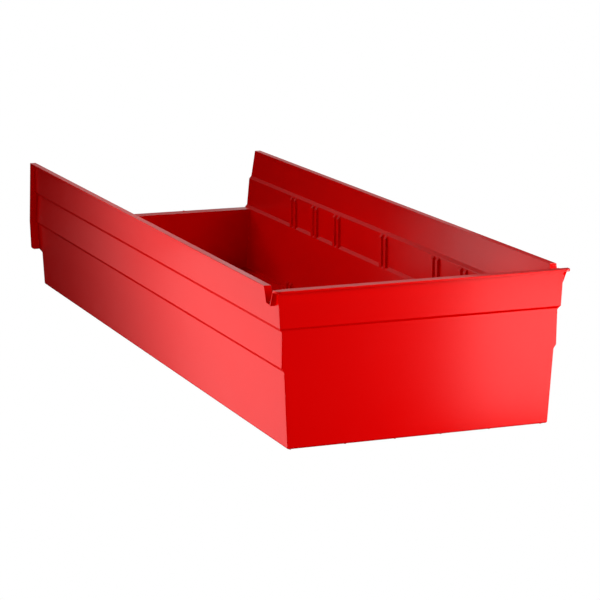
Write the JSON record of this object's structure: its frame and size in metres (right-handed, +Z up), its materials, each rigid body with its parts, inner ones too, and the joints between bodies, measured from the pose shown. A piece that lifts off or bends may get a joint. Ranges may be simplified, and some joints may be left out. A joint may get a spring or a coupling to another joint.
{
  "type": "shelf bin",
  "caption": "Long open-topped moulded shelf bin with stepped tapering walls, turned-out rim, front lip, low back wall with ledge and hang lip, and guides for cross dividers.",
  "frame": {"origin": "middle of the footprint of the whole bin, on the plane of the runners' undersides", "axes": "+X to the bin's right as seen from the front, +Y from the front lip to the hang lip, +Z up"},
  "size_m": [0.21, 0.6, 0.1075],
  "materials": {
    "moulding": "satin-gloss moulded polypropylene, coloured right through"
  },
  "bodies": {
    "root": {"floor_pan": "moulding", "floor_runners": "moulding", "front_wall": "moulding", "front_lip": "moulding", "left_side_wall": "moulding", "right_side_wall": "moulding", "left_rim": "moulding", "right_rim": "moulding", "left_front_ear": "moulding", "right_front_ear": "moulding", "left_rear_flange": "moulding", "right_rear_flange": "moulding", "back_wall": "moulding", "back_ledge": "moulding", "hang_lip": "moulding", "ledge_pips": "moulding", "left_divider_guides": "moulding", "right_divider_guides": "moulding", "left_foot_guides": "moulding", "right_foot_guides": "moulding"}
  },
  "joints": []
}
